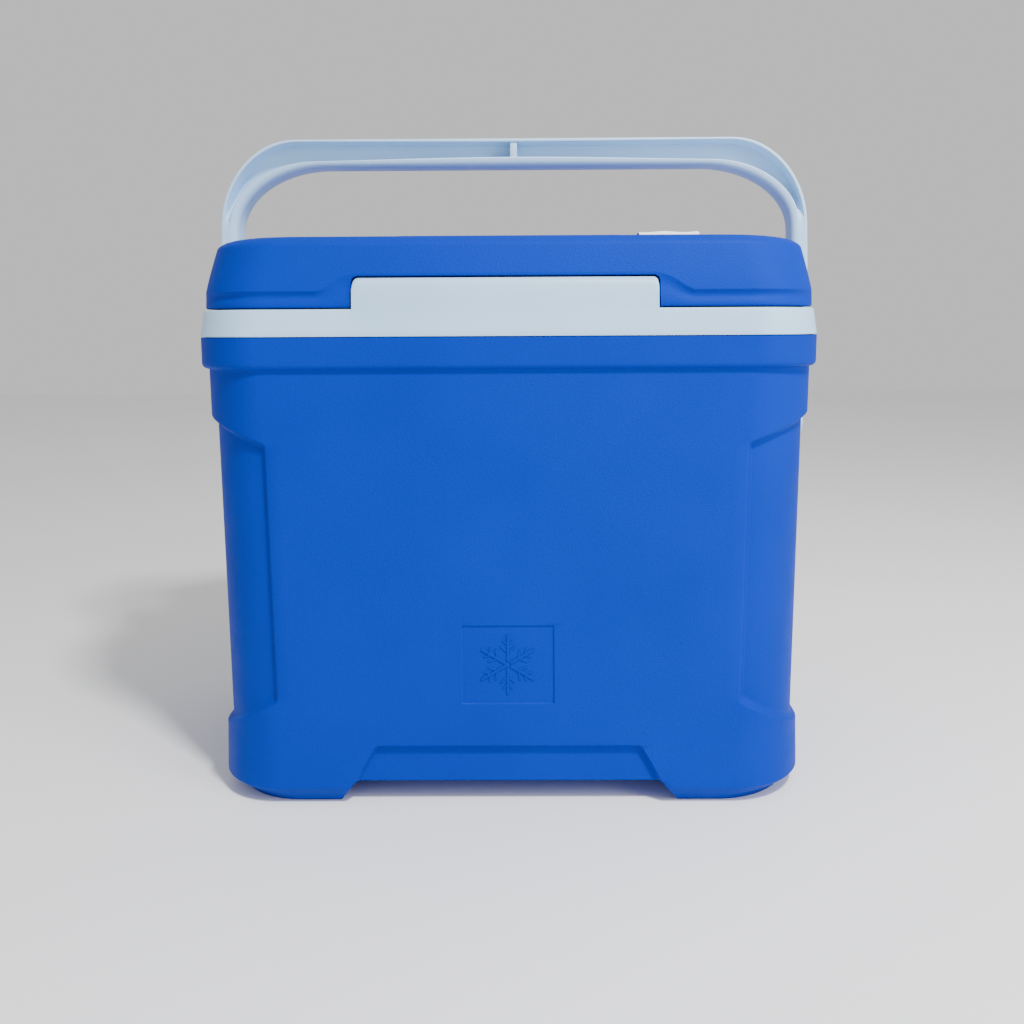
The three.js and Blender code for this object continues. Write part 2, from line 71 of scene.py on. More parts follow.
# %% Moulding sizes
CORNER = 54.0
WALL = 2.5
COLLAR_HEIGHT, COLLAR_STEP = 23.0, 4.6
COLLAR_BOTTOM = SHELL_TOP - COLLAR_HEIGHT
BODY_DRAFT = 0.035
FOOT = 16.5
RIM_BOTTOM = SHELL_TOP + 0.3
RIM_TOP = RIM_BOTTOM + 19.8
RIM_DRAFT = 2.0
RIM_WIDTH = 30.0
TAB_RADIUS = 6.0
TAB_HALF = 109.15
HINGE_Y = HALF_Y - RIM_DRAFT - TAB_RADIUS
HINGE_Z = TAB_TOP - TAB_RADIUS
CABIN_FLOOR = 38.0
ARM_THICK = 13.6
JOG = 5.0
EYE_OUT = BAIL_HALF_X - JOG
EYE_IN = EYE_OUT - ARM_THICK
print("hinge line at", HINGE_Y, HINGE_Z, "rim from", RIM_BOTTOM, "to", RIM_TOP)

# %% [markdown]
# ## Finishes
# Every surface gets a small tree of pattern nodes on the piece's own coordinates, so the grain has its
# true size in millimetres wherever the piece moves. One helper adds a node and fills or links its
# sockets. The moulded plastics share one recipe: a slightly uneven colour, a grain and a soft shine.

# %% Node helpers
def linear(code):
    """An sRGB colour such as #1a2b3c as linear values."""
    channels = [int(code[i:i + 2], 16) / 255 for i in (1, 3, 5)]
    return [c / 12.92 if c <= 0.04045 else ((c + 0.055) / 1.055) ** 2.4 for c in channels]


def node(tree, kind, inputs=None, **settings):
    """Add a node, set it up and fill its sockets with values or links."""
    made = tree.nodes.new(kind)
    for key, value in settings.items():
        setattr(made, key, value)
    for key, value in (inputs or {}).items():
        if isinstance(value, bpy.types.NodeSocket):
            tree.links.new(value, made.inputs[key])
        else:
            made.inputs[key].default_value = value
    return made


def new_finish(name, metallic=0.0, shine=0.5):
    """A material with its tree, its shader and the piece's own coordinates."""
    material = bpy.data.materials.new(name)
    material.use_nodes = True
    tree = material.node_tree
    shader = tree.nodes["Principled BSDF"]
    shader.inputs["Metallic"].default_value = metallic
    shader.inputs["Specular IOR Level"].default_value = shine
    place = node(tree, "ShaderNodeTexCoord").outputs["Object"]
    return material, tree, shader, place


def noise(tree, place, size_mm, detail=2.0):
    inputs = {"Vector": place, "Scale": 1 / (size_mm * MM), "Detail": detail}
    return node(tree, "ShaderNodeTexNoise", inputs).outputs[0]


def cells(tree, place, size_mm):
    inputs = {"Vector": place, "Scale": 1 / (size_mm * MM)}
    return node(tree, "ShaderNodeTexVoronoi", inputs).outputs[0]


def spread(tree, value, low, high):
    """Stretch the middle of a pattern onto a range."""
    inputs = {"Value": value, "From Min": 0.3, "From Max": 0.7, "To Min": low, "To Max": high}
    return node(tree, "ShaderNodeMapRange", inputs).outputs[0]


def two_tones(tree, share, first, second):
    """Blend two sRGB colours."""
    inputs = {0: share, 6: (*linear(first), 1), 7: (*linear(second), 1)}
    return node(tree, "ShaderNodeMix", inputs, data_type="RGBA").outputs[2]


def raise_surface(tree, shader, height, depth_mm, strength):
    """Let a pattern tilt the surface."""
    inputs = {"Height": height, "Distance": depth_mm * MM, "Strength": strength}
    tree.links.new(node(tree, "ShaderNodeBump", inputs).outputs[0], shader.inputs["Normal"])

# %% Moulded plastics
def moulded(name, tones, roughness, grain_mm, depth_mm, shine=0.4):
    """Injection-moulded plastic whose tool was etched with a pebbled grain."""
    material, tree, shader, place = new_finish(name, shine=shine)
    drift_share = spread(tree, noise(tree, place, 90), 0, 1)
    tree.links.new(two_tones(tree, drift_share, *tones), shader.inputs["Base Color"])
    pebbles = cells(tree, place, grain_mm)
    fine = noise(tree, place, grain_mm * 0.6, 3)
    height = node(tree, "ShaderNodeMath", {0: pebbles, 1: fine}, operation="ADD").outputs[0]
    raise_surface(tree, shader, height, depth_mm, 0.5)
    rough = spread(tree, noise(tree, place, 18), roughness - 0.03, roughness + 0.04)
    tree.links.new(rough, shader.inputs["Roughness"])
    print(name, "grain", grain_mm, "mm")
    return material


blue_grain = moulded("blue_polyethylene_leather_grain", ("#002f9d", "#0031a3"), 0.5, 1.1, 0.3, 0.06)
white_satin = moulded("white_polypropylene_satin", ("#a8cbea", "#b2d3ef"), 0.42, 0.7, 0.02, 0.35)
ivory_acetal = moulded("natural_acetal_turned", ("#ecebe4", "#f1f0ea"), 0.35, 0.5, 0.01)
black_moulded = moulded("black_polyethylene_plug", ("#1d1f23", "#24262b"), 0.5, 0.8, 0.03)

# %% Metals, foam and paper
def turned_metal(name, tones, roughness):
    """Machined metal: fine tool lines and a slightly uneven tone."""
    material, tree, shader, place = new_finish(name, metallic=1.0)
    tone_share = spread(tree, noise(tree, place, 3), 0, 1)
    tree.links.new(two_tones(tree, tone_share, *tones), shader.inputs["Base Color"])
    inputs = {"Vector": place, "Scale": 1 / (2.5 * MM), "Distortion": 1.0}
    lines = node(tree, "ShaderNodeTexWave", inputs, wave_type="RINGS", rings_direction="X").outputs[1]
    raise_surface(tree, shader, lines, 0.01, 0.3)
    rough = spread(tree, noise(tree, place, 1.5), roughness, roughness + 0.12)
    tree.links.new(rough, shader.inputs["Roughness"])
    return material


def dry_solid(name, tones, size_mm, depth_mm):
    """A matt solid with a cell or fibre pattern: foam or paper."""
    material, tree, shader, place = new_finish(name, shine=0.2)
    pores = cells(tree, place, size_mm)
    tree.links.new(two_tones(tree, spread(tree, pores, 0, 1), *tones), shader.inputs["Base Color"])
    raise_surface(tree, shader, pores, depth_mm, 0.6)
    shader.inputs["Roughness"].default_value = 0.9
    return material


zinc_steel = turned_metal("zinc_plated_steel", ("#b4b7bd", "#c3c6cb"), 0.28)
brass = turned_metal("machined_brass", ("#c09c52", "#cfac66"), 0.3)
foam_cells = dry_solid("poured_polyurethane_foam", ("#e6d598", "#eedfa9"), 1.5, 0.2)
label_paper = dry_solid("coated_label_paper", ("#e9efe8", "#f4f6f2"), 0.4, 0.01)

# %% [markdown]
# ## One loop for every moulding
# Every moulding here is a rounded rectangle in plan, so all of them share one walk round the outline.
# A quarter of the walk is a list of columns: along the front wall, round the corner, along the side.
# The straight columns sit between named break lines, and a break line may lean or bend with height.
# That way a moulded edge always runs along mesh lines and stays crisp with few faces.

# %% The walk round a rounded rectangle
def smooth(value, low, high):
    """Ease from 0 at one value to 1 at the other."""
    t = min(1.0, max(0.0, (value - low) / (high - low)))
    return t * t * (3 - 2 * t)


def mix(a, b, t):
    return a + (b - a) * t


def quarter(front_counts, angles, side_counts):
    """Columns of a quarter: ("x", segment, share), ("c", angle), ("y", segment, share)."""
    columns = []
    for segment, count in enumerate(front_counts):
        columns += [("x", segment, i / count) for i in range(count)]
    columns += [("c", math.radians(angle)) for angle in angles]
    for segment in reversed(range(len(side_counts))):
        count = side_counts[segment]
        columns += [("y", segment, 1 - (i + 1) / count) for i in range(count)]
    return columns


def full_loop(columns):
    """All four quarters, anticlockwise from the middle of the front, as (column, sign x, sign y)."""
    forward = list(columns)
    backward = list(reversed(columns))
    loop = [(c, 1, -1) for c in forward]
    loop += [(c, 1, 1) for c in backward[1:]]
    loop += [(c, -1, 1) for c in forward[1:]]
    loop += [(c, -1, -1) for c in backward[1:-1]]
    return loop


def on_outline(column, half_x, half_y, radius, lines_x, lines_y):
    """Place and outward normal of a column, for the quarter where x and y are positive."""
    if column[0] == "x":
        x = mix(lines_x[column[1]], lines_x[column[1] + 1], column[2])
        return x, half_y, 0.0, 1.0
    if column[0] == "y":
        y = mix(lines_y[column[1]], lines_y[column[1] + 1], column[2])
        return half_x, y, 1.0, 0.0
    across, along = math.sin(column[1]), math.cos(column[1])
    return half_x - radius + radius * across, half_y - radius + radius * along, across, along


def fill_mesh(name, points, faces, closed=False):
    """A mesh in metres, cleaned up. A closed shape gets its faces turned outwards."""
    mesh = bpy.data.meshes.new(name)
    mesh.from_pydata([Vector(p) * MM for p in points], [], faces)
    work = bmesh.new()
    work.from_mesh(mesh)
    bmesh.ops.remove_doubles(work, verts=work.verts, dist=2e-6)
    if closed:
        bmesh.ops.recalc_face_normals(work, faces=work.faces)
    else:
        bmesh.ops.dissolve_degenerate(work, edges=work.edges, dist=1e-6)
        unused = [v for v in work.verts if not v.link_faces]
        bmesh.ops.delete(work, geom=unused, context="VERTS")
    work.to_mesh(mesh)
    work.free()
    return mesh


def mesh_piece(name, points, faces, body, slot_name, material):
    """A piece from points in millimetres, on its body and with its finish."""
    piece = bpy.data.objects.new(name, fill_mesh(name, points, faces))
    bpy.context.scene.collection.objects.link(piece)
    piece.data.materials.append(material)
    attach(piece, body)
    return piece


def wrap(loop, rows, place, skip=None, caps=()):
    """Points and quads of rows round a loop, where place() gives each point, with flat ends if wanted."""
    count = len(loop)
    points = [place(row, *member) for row in rows for member in loop]
    faces = []
    for r in range(len(rows) - 1):
        for c in range(count):
            after = (c + 1) % count
            if skip and skip(rows[r + 1], loop[c], loop[after]):
                continue
            near, far = r * count, (r + 1) * count
            faces.append((near + c, near + after, far + after, far + c))
    if "first" in caps:
        faces.append(tuple(reversed(range(count))))
    if "last" in caps:
        faces.append(tuple((len(rows) - 1) * count + c for c in range(count)))
    return points, faces


BEVEL_FROM = 58


def finish_edges(piece, angle=32, bevel=0.0, thickness=0.0):
    """Round the square edges, give a surface its wall and shade it smooth, all applied to the mesh."""
    if bevel:
        rounding = piece.modifiers.new("rounding", "BEVEL")
        rounding.width = bevel * MM
        rounding.segments = 2
        rounding.limit_method = "ANGLE"
        rounding.angle_limit = math.radians(BEVEL_FROM)
    if thickness:
        solidify = piece.modifiers.new("wall", "SOLIDIFY")
        solidify.thickness = thickness * MM
        solidify.offset = -1
    graph = bpy.context.evaluated_depsgraph_get()
    mesh = bpy.data.meshes.new_from_object(piece.evaluated_get(graph))
    piece.modifiers.clear()
    piece.data = mesh
    mesh.polygons.foreach_set("use_smooth", [True] * len(mesh.polygons))
    mesh.set_sharp_from_angle(angle=math.radians(angle))
    print(piece.name, len(mesh.polygons), "faces")
    return piece

# %% [markdown]
# ## The blue tub
# The outside is one surface: rows of points from the soles of the feet up to the collar. The wall leans
# in towards the floor as a moulding must to leave its tool. Between the feet the rows stop at the floor,
# so those quads are left out and flat faces close the floor, the soles and the feet's inner slopes.

# %% The tub's profile
HEM = 44.0
RECESS_DEPTH = 4.5
RECESS_INSET = 51.7
RECESS_BOTTOM, RECESS_TOP = 76.0, SHELL_TOP - 77.7
RECESS_RISE, RECESS_DROP = 19.0, 27.0
GRIP_TOP_Z = 43.5
GRIP_TAPER = 15.6
GRIP_DEPTH = 4.5
BADGE_HALF_X = 33.1
BADGE_LOW, BADGE_HIGH = 73.8, 131.2
BADGE_DEPTH = 1.0
FOOT_X, FOOT_Y, FOOT_SLOPE = HALF_X - 122.4, HALF_Y - 95.0, 11.3
FOOT_CREASE, FOOT_TUCK_SIDE, FOOT_TUCK_FRONT = 13.0, 8.0, 10.0


def body_inset(z):
    return COLLAR_STEP + BODY_DRAFT * (COLLAR_BOTTOM - max(z, HEM))


def collar_inset(z):
    """The collar's own outline: a round lower edge and a slight lean."""
    lean = 0.7 * (SHELL_TOP - z) / (SHELL_TOP - COLLAR_BOTTOM)
    edge = max(0.0, COLLAR_BOTTOM + 4.0 - z) / 4.0
    return lean + 3.6 * (1 - math.sqrt(max(0.0, 1 - edge * edge)))


def shell_insets(z):
    """How far the side and the front stand in from the overall box at a height."""
    if z >= COLLAR_BOTTOM:
        side = collar_inset(z)
        return side, side
    low = max(0.0, 1 - z / FOOT_CREASE)
    inset = body_inset(z)
    return inset + FOOT_TUCK_SIDE * low ** 1.9, inset + FOOT_TUCK_FRONT * low ** 1.08


def grip_edge(z):
    """Half the width of the way between the front feet, and of the finger hollow above it."""
    if z < FOOT:
        return FOOT_X + FOOT_SLOPE * (1 - z / FOOT)
    top = min(z, GRIP_TOP_Z)
    return FOOT_X - GRIP_TAPER * (top - FOOT) / (GRIP_TOP_Z - FOOT)


def shell_lines(z, half_x, half_y, radius):
    """The break lines at a height: the badge's edge, the hollow's edge and the side feet."""
    edge = grip_edge(z)
    side = FOOT_Y + FOOT_SLOPE * max(0.0, 1 - z / FOOT)
    lines_x = [0, BADGE_HALF_X - 0.5, BADGE_HALF_X + 0.4, edge - 1.6, edge + 1.6, half_x - radius]
    lines_y = [0, 22, side, half_y - radius]
    return lines_x, lines_y

# %% The tub's surface
def towards_side(x, half_x):
    """0 at the recess's front edge, 1 at the side wall."""
    return min(1.0, max(0.0, (x - half_x + RECESS_INSET) / RECESS_INSET))


def slant(z_row, share):
    """Rows near the recess's two end edges climb or fall with them, and the rest ease back to level."""
    climb = smooth(z_row, 190, RECESS_TOP - 8) * (1 - smooth(z_row, RECESS_TOP + 8, COLLAR_BOTTOM - 2))
    if RECESS_TOP - 8 <= z_row <= RECESS_TOP + 8:
        climb = 1.0
    fall = min(1.0, max(0.0, (z_row - 20) / 50)) * (1 - min(1.0, max(0.0, (z_row - 82) / 60)))
    return share * (RECESS_RISE * climb - RECESS_DROP * fall)


EDGE_ANGLE = math.asin((CORNER - RECESS_INSET) / CORNER)


def shell_sink(column, z, share, front):
    """How far the surface is set in: the side recess, the finger hollow and the badge."""
    around = 0.0
    if column[0] == "y":
        around = 1.0
    elif column[0] == "c":
        around = smooth(column[1], 0.0, 2 * EDGE_ANGLE)
    top, bottom = RECESS_TOP + RECESS_RISE * share, RECESS_BOTTOM - RECESS_DROP * share
    recess = around * smooth(z, bottom - 2.6, bottom + 2.6) * (1 - smooth(z, top - 2.6, top + 2.6))
    grip = 0.0
    badge = 0.0
    if column[0] == "x":
        segment, along = column[1], column[2]
        inside = 1.0 if segment < 3 else (1 - smooth(along, 0, 1) if segment == 3 else 0.0)
        if z >= FOOT - 0.01:
            grip = inside * (1 - smooth(z, GRIP_TOP_Z - 3.4, GRIP_TOP_Z + 0.6))
        if front and (segment == 0 or (segment == 1 and along == 0)):
            badge = smooth(z, BADGE_LOW, BADGE_LOW + 0.9)
            badge *= 1 - smooth(z, BADGE_HIGH - 0.9, BADGE_HIGH)
    return RECESS_DEPTH * recess + GRIP_DEPTH * grip + BADGE_DEPTH * badge


def shell_outline(column, z):
    """Half the width and the outline's point. Low down the corner opens out, but not past a foot's slope."""
    side, front = shell_insets(z)
    half_x, half_y = HALF_X - side, HALF_Y - front
    slope_end = FOOT_Y + FOOT_SLOPE * max(0.0, 1 - z / FOOT)
    radius = min(CORNER + 14 * max(0.0, 1 - z / FOOT_CREASE), half_y - slope_end - 1.5)
    return half_x, on_outline(column, half_x, half_y, radius, *shell_lines(z, half_x, half_y, radius))


def shell_point(z_row, column, sx, sy):
    half_x, (x, y, nx, ny) = shell_outline(column, z_row)
    share = towards_side(x, half_x) if column[0] != "x" else 0.0
    z = z_row + slant(z_row, share)
    half_x, (x, y, nx, ny) = shell_outline(column, z)
    sink = shell_sink(column, z, share, sy < 0)
    return sx * (x - nx * sink), sy * (y - ny * sink), z


def rows_across(edge, reach, count):
    """Rows packed round an edge, so that its step stays crisp."""
    return [edge - reach + 2 * reach * i / count for i in range(count + 1)]


SHELL_ROWS = [0, 1.2, 2.6, 4.2, 6, 8, 10, 12, FOOT_CREASE, 14.5, FOOT - 0.001, FOOT]
SHELL_ROWS += [18, 21, 25, 29, 33, 37]
SHELL_ROWS += rows_across(GRIP_TOP_Z - 1.4, 2.4, 6) + [48, 53, 59, 65, 69, 71]
SHELL_ROWS += [BADGE_LOW - 1.1, BADGE_LOW, BADGE_LOW + 0.45, BADGE_LOW + 0.9]
SHELL_ROWS += [75.2, 76, 76.8, 77.6, 78.6, 81, 88, 98, 110, 122, 128]
SHELL_ROWS += [BADGE_HIGH - 0.9, BADGE_HIGH - 0.45, BADGE_HIGH]
SHELL_ROWS += [134, 146, 160, 178, 196, 214, 230, 242, 250, 256]
SHELL_ROWS += rows_across(RECESS_TOP, 3, 8) + [266, 272, 280, 290, 300, 308]
SHELL_ROWS += [COLLAR_BOTTOM + rise for rise in (-2.5, -0.8, 0, 0.12, 0.45, 1.0, 1.8, 2.8, 4.2, 8)]
SHELL_ROWS += [330, SHELL_TOP]
SHELL_ROWS = sorted(SHELL_ROWS)
SHELL_ANGLES = [0, 0.8, 1.6, 2.4, 3.2, 4, 4.8, 5.6, 7.5, 11, 16]
SHELL_ANGLES += [22, 29, 36, 43, 50, 57, 64, 71, 78, 84, 90]


def is_open(member):
    """Whether a column stands in the way between two feet."""
    kind, segment = member[0][:2]
    return (kind == "x" and segment < 4) or (kind == "y" and segment < 2)


def between_feet(z_row, here, there):
    """The quads that the open way under the floor takes away."""
    return z_row < FOOT and (is_open(here) or is_open(there))


def close_floor(loop, rows, points):
    """Flat faces for the floor, the four soles and the slopes between each foot and the floor."""
    count, level = len(loop), rows.index(FOOT)
    faces, floor_ring, foot = [], [], []
    for c in range(count):
        floor_ring.append(level * count + c)
        if is_open(loop[c]):
            continue
        foot.append(c)
        if is_open(loop[(c + 1) % count]):
            sx, sy = loop[foot[0]][1:]
            low, high = len(points), len(points) + 1
            points.append((sx * (FOOT_X + FOOT_SLOPE + 1.6), sy * (FOOT_Y + FOOT_SLOPE), 0))
            points.append((sx * (FOOT_X + 1.6), sy * FOOT_Y, FOOT))
            first = [r * count + foot[0] for r in range(level + 1)]
            last = [r * count + foot[-1] for r in range(level + 1)]
            faces.append(tuple(first + [high, low]))
            faces.append(tuple([low, high] + last[::-1]))
            faces.append(tuple(foot[::-1] + [low]))
            floor_ring = [v for v in floor_ring if v - level * count not in foot[1:]]
            floor_ring += [high, level * count + foot[-1]]
            foot = []
    faces.append(tuple(floor_ring[::-1]))
    return faces


shell_loop = full_loop(quarter([3, 1, 8, 3, 8], SHELL_ANGLES, [3, 5, 5]))
shell_points, shell_faces = wrap(shell_loop, SHELL_ROWS, shell_point, between_feet)
shell_faces += close_floor(shell_loop, SHELL_ROWS, shell_points)
outer_shell = mesh_piece("blue_tub", shell_points, shell_faces, "tub", "blue_plastic", blue_grain)
finish_edges(outer_shell, bevel=0.4, thickness=WALL)
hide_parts("outer_shell")

# %% [markdown]
# ## The white liner
# The cabin, the rim and both tabs are one moulding. Its section is drawn as a run of points from the
# rim's lower edge, over the top and down to the cabin floor. Where a tab stands, the same points climb
# up the tab's face, go round its bull-nosed top and come down behind it.

# %% The liner's section
TAB_CORNER = 4.0
TAB_BEHIND = 2 * TAB_RADIUS
TAB_BREAKS = [0, TAB_HALF - TAB_CORNER, TAB_HALF, TAB_HALF + 0.02]
NOSE_STEPS = 8


def tab_rise(x):
    """How high the tab stands over the rim at this place, with rounded top corners."""
    if abs(x) > TAB_HALF + 1e-6:
        return 0.0
    inside = TAB_HALF - abs(x)
    drop = 0.0
    if inside < TAB_CORNER:
        drop = TAB_CORNER - math.sqrt(TAB_CORNER ** 2 - (TAB_CORNER - inside) ** 2)
    return TAB_TOP - RIM_TOP - drop


def liner_section(rise):
    """Points (inset, height) from the rim's outer lower edge to the middle of the cabin floor."""
    section = [(0.9, RIM_BOTTOM + 0.1), (0.25, RIM_BOTTOM + 0.35), (0.0, RIM_BOTTOM + 0.9)]
    edge = 1.4
    section += [(RIM_DRAFT * t, RIM_BOTTOM + t * (RIM_TOP - RIM_BOTTOM - edge)) for t in (0.3, 0.65, 1.0)]
    front = RIM_DRAFT
    if rise:
        nose = TAB_RADIUS
        section.append((front, RIM_TOP))
        section.append((front, RIM_TOP + rise * 0.4))
        for i in range(NOSE_STEPS + 1):
            angle = math.pi * i / NOSE_STEPS
            across, up = nose * math.cos(angle), nose * math.sin(angle)
            section.append((front + nose - across, RIM_TOP + rise - nose + up))
        section.append((front + TAB_BEHIND, RIM_TOP + rise * 0.3))
        section.append((front + TAB_BEHIND, RIM_TOP))
    else:
        corner = [(front + edge * (1 - math.cos(a)), RIM_TOP - edge + edge * math.sin(a))
                  for a in (math.radians(v) for v in (0, 30, 60, 90))]
        flat = NOSE_STEPS + 1
        section += corner[1:]
        section += [(mix(front + edge, front + TAB_BEHIND, (i + 1) / flat), RIM_TOP) for i in range(flat)]
        section.append((front + TAB_BEHIND, RIM_TOP))
    mouth = RIM_WIDTH
    section += [(mouth - 6, RIM_TOP), (mouth - 3, RIM_TOP - 0.1), (mouth - 1.2, RIM_TOP - 0.7),
                (mouth - 0.3, RIM_TOP - 2), (mouth, RIM_TOP - 4)]
    draft, fillet = 13.0, 12.0
    section += [(mouth + draft * t, mix(RIM_TOP - 4, CABIN_FLOOR + fillet, t)) for t in (0.25, 0.5, 0.75)]
    for degrees in (0, 15, 30, 45, 60, 75, 90):
        a = math.radians(degrees)
        across, down = fillet * (1 - math.cos(a)), fillet * math.sin(a)
        section.append((mouth + draft + across, CABIN_FLOOR + fillet - down))
    return section


def liner_point(step, column, sx, sy):
    rise = 0.0
    if column[0] == "x" and column[1] < 3:
        rise = tab_rise(mix(TAB_BREAKS[column[1]], TAB_BREAKS[column[1] + 1], column[2]))
    inset, z = liner_section(rise)[step]
    radius = max(8.0, CORNER - inset * 0.75)
    half_x, half_y = HALF_X - inset, HALF_Y - inset
    lines_x = [*TAB_BREAKS, half_x - radius]
    x, y, _, _ = on_outline(column, half_x, half_y, radius, lines_x, [0, half_y - radius])
    return sx * x, sy * y, z


liner_loop = full_loop(quarter([8, 6, 1, 8], list(range(0, 91, 6)), [12]))
liner_steps = list(range(len(liner_section(0.0))))
liner_points, liner_faces = wrap(liner_loop, liner_steps, liner_point, caps=["last"])
inner_liner = mesh_piece("white_liner", liner_points, liner_faces, "tub", "white_plastic", white_satin)
finish_edges(inner_liner, thickness=WALL - 0.1)
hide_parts("inner_liner")

# %% [markdown]
# ## The lid
# The blue skin of the lid leans in as it goes up and turns over a crisp shoulder to a flat top with a
# raised pad. Low down on the front and back a shallow cove runs along the lip and sweeps up beside the
# tab notch, which is where a thumb goes to lift the lid.

# %% The lid's profile
LID_INSET = HALF_X - LID_HALF_X
PAD_HEIGHT = 2.5
LID_TOP = PAD_TOP - PAD_HEIGHT
SHOULDER = 7.5
SHOULDER_Z = LID_TOP - SHOULDER
FRONT_LEAN, SIDE_LEAN = 7.0, 6.0
FLAT_FRONT, FLAT_SIDE = 21.0, 24.0
NOTCH_HALF = TAB_HALF + 1.2
NOTCH_TOP = TAB_TOP + 1.2
NOTCH_BACK = HINGE_Y - TAB_RADIUS - 1.2
NOTCH_ROUND = 4.0
RIDGE_Z = LID_BOTTOM + 12.0
SWEEP_NEAR, SWEEP_FAR = NOTCH_HALF + 1.5, NOTCH_HALF + 24.0
PAD_HALF_X, PAD_HALF_Y, PAD_CORNER = 95.0, 95.0, 14.0


def ridge_height(x, on_front):
    """The lip's ridge: level along the lid, sweeping up to the notch's top corner."""
    if not on_front:
        return RIDGE_Z
    straight = min(1.0, max(0.0, (x - SWEEP_NEAR) / (SWEEP_FAR - SWEEP_NEAR)))
    near = 1 - (smooth(x, SWEEP_NEAR, SWEEP_FAR) + straight) / 2
    return mix(RIDGE_Z, NOTCH_TOP + 2.0, near)


def notch_edge(z):
    """Half the notch's width, drawn in round its top corners."""
    low = NOTCH_TOP - NOTCH_ROUND
    if z <= low:
        return NOTCH_HALF
    if z <= NOTCH_TOP:
        return NOTCH_HALF - NOTCH_ROUND + math.sqrt(NOTCH_ROUND ** 2 - (z - low) ** 2)
    return mix(NOTCH_HALF - NOTCH_ROUND, NOTCH_HALF, min(1.0, (z - NOTCH_TOP) / 14))


# Each row is (zone, share): "lip" runs from the bottom to the ridge, "face" from the ridge to the
# shoulder, "turn" over the shoulder, "top" across to the pad and "pad" over its edge.
# COVE holds how deep the cove is at each share of the lip.
COVE = {0.0: 1.7, 0.03: 1.0, 0.08: 0.6, 0.16: 0.5, 0.3: 0.8, 0.42: 1.35, 0.54: 1.95,
        0.64: 2.2, 0.76: 1.8, 0.86: 1.1, 0.93: 0.5, 0.97: 0.18, 1.0: 0.0}
LID_ROWS = [("lip", share) for share in COVE]
LID_ROWS += [("face", t) for t in (0.02, 0.05, 0.1, 0.2, 0.34, 0.5, 0.66, 0.8, 0.9, 0.96, 1.0)]
LID_ROWS += [("turn", t) for t in (0.06, 0.2, 0.4, 0.6, 0.8, 0.92, 1.0)]
LID_ROWS += [("top", t) for t in (0.1, 0.3, 0.6, 0.9, 0.98)]
LID_ROWS += [("pad", t) for t in (0.0, 0.12, 0.5, 0.88, 1.0)]


def face_inset(z, on_front):
    """How far the leaning face stands in from the tub's own width or depth."""
    share = max(0.0, (z - RIDGE_Z) / (SHOULDER_Z - RIDGE_Z))
    lean = FRONT_LEAN if on_front else SIDE_LEAN
    return LID_INSET + lean * share ** 1.15


def notch_lines(z, end):
    """The break lines along the front: two at the notch, one past its edge and one past the sweep."""
    edge = notch_edge(z)
    return [0, edge - 0.35, edge + 0.02, edge + 1.2, SWEEP_FAR + 2, end]


def lid_outline(column, z, half_x, half_y):
    lines_x = notch_lines(z, half_x - CORNER)
    return on_outline(column, half_x, half_y, CORNER, lines_x, [0, half_y - CORNER])


def lid_top_point(zone, share, column):
    """The flat top from the turned edge to the pad, and the pad's own edge."""
    outer_x, outer_y = HALF_X - LID_INSET - FLAT_SIDE, HALF_Y - LID_INSET - FLAT_FRONT
    t, rise, tuck = share, 0.0, 0.0
    if zone == "pad":
        t, rise, tuck = 1.0, PAD_HEIGHT * smooth(share, 0, 1), 2.4 * share
    half_x, half_y = mix(outer_x, PAD_HALF_X - tuck, t), mix(outer_y, PAD_HALF_Y - tuck, t)
    radius = mix(CORNER, PAD_CORNER, t)
    squeeze = (half_x - radius) / (outer_x - CORNER)
    lines_x = [v * squeeze for v in notch_lines(LID_TOP, outer_x - CORNER)]
    x, y, _, _ = on_outline(column, half_x, half_y, radius, lines_x, [0, half_y - radius])
    return x, y, LID_TOP + rise


def lid_turn_point(share, column):
    """The edge between the leaning face and the flat top, an ease over a quarter turn."""
    angle = share * math.pi / 2
    over = 0.75 * (1 - math.cos(angle)) + 0.25 * share
    z = SHOULDER_Z + SHOULDER * math.sin(angle)
    half_x = HALF_X - LID_INSET - SIDE_LEAN - (FLAT_SIDE - SIDE_LEAN) * over
    half_y = HALF_Y - LID_INSET - FRONT_LEAN - (FLAT_FRONT - FRONT_LEAN) * over
    x, y, _, _ = lid_outline(column, z, half_x, half_y)
    return x, y, z


def lid_point(row, column, sx, sy):
    zone, share = row
    if zone in ("top", "pad", "turn"):
        x, y, z = lid_turn_point(share, column) if zone == "turn" else lid_top_point(zone, share, column)
        return sx * x, sy * y, z
    flat_front = column[0] == "x"
    around = 0.0 if flat_front else (1.0 if column[0] == "y" else column[1] / (math.pi / 2))
    ridge = ridge_height(lid_outline(column, RIDGE_Z, HALF_X - LID_INSET, HALF_Y)[0], flat_front)
    z = mix(LID_BOTTOM, ridge, share) if zone == "lip" else mix(ridge, SHOULDER_Z, share)
    half_x, half_y = HALF_X - face_inset(z, False), HALF_Y - face_inset(z, True)
    x, y, nx, ny = lid_outline(column, z, half_x, half_y)
    if zone == "lip":
        cove = COVE[share] * (1 - smooth(around, 0.25, 0.85))
        lip_round = 1.7 * max(0.0, 1 - share / 0.08) ** 2
        cove = max(cove, lip_round)
        x, y = x - nx * cove, y - ny * cove
    inside = flat_front and (column[1] == 0 or (column[1] == 1 and column[2] == 0))
    if inside and z < NOTCH_TOP:
        y = NOTCH_BACK
    return sx * x, sy * y, z


lid_loop = full_loop(quarter([8, 1, 3, 12, 6], list(range(0, 91, 5)), [12]))
lid_points, lid_faces = wrap(lid_loop, LID_ROWS, lid_point, caps=["last"])
lid_shell = mesh_piece("blue_lid", lid_points, lid_faces, "lid", "blue_plastic", blue_grain)
finish_edges(lid_shell, thickness=WALL - 0.3, angle=28)
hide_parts("lid_shell")

